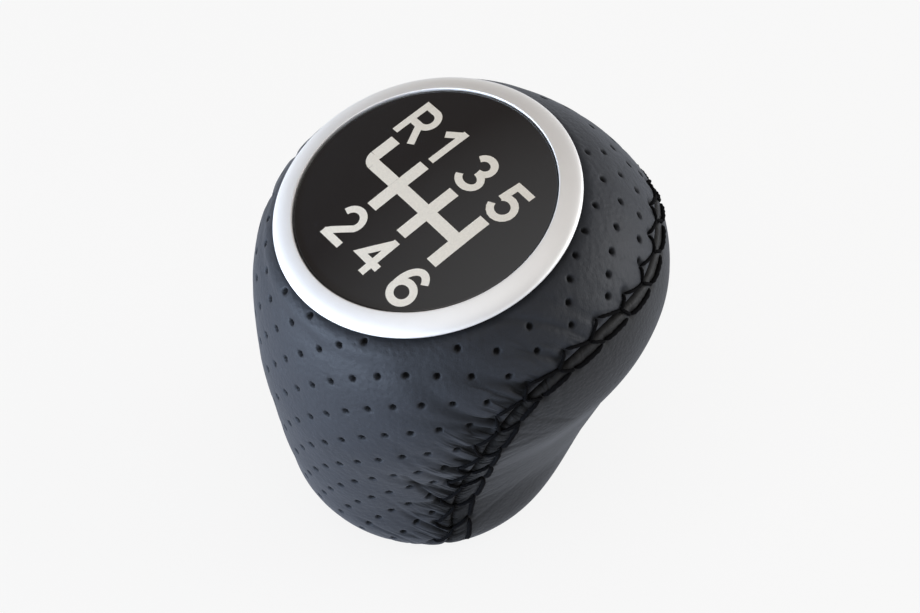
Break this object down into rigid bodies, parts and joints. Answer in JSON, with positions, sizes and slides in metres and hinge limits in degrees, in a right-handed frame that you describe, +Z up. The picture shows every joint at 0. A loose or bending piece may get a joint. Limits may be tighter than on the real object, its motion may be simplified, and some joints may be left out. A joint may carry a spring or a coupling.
{
  "type": "gear shift knob",
  "caption": "Leather-covered gear shift knob with a punched rear panel, laced side seam, satin trim ring, tilted gloss pattern cap and a round lever socket.",
  "frame": {"origin": "centre of the lever bore's mouth, on the plane that the base stands on", "axes": "+Z up along the lever, +Y to the front of the car, where the nose overhangs, +X to the right"},
  "size_m": [0.0568, 0.0597, 0.0601],
  "materials": {
    "core_plastic": "matte moulded",
    "punched_leather": "fine grain, punched holes",
    "smooth_leather": "fine grain",
    "thread": "black sewing thread",
    "satin_trim": "satin",
    "gloss_black": "gloss",
    "collar_plastic": "matte moulded",
    "bush_metal": "turned",
    "clip_steel": "spring steel"
  },
  "bodies": {
    "root": {"knob_core": "core_plastic", "rear_leather": "punched_leather", "front_leather": "smooth_leather", "seam_thread": "thread", "trim_ring": "satin_trim", "pattern_cap": "gloss_black", "base_collar": "collar_plastic", "lever_bush": "bush_metal", "lever_clip": "clip_steel"}
  },
  "joints": []
}
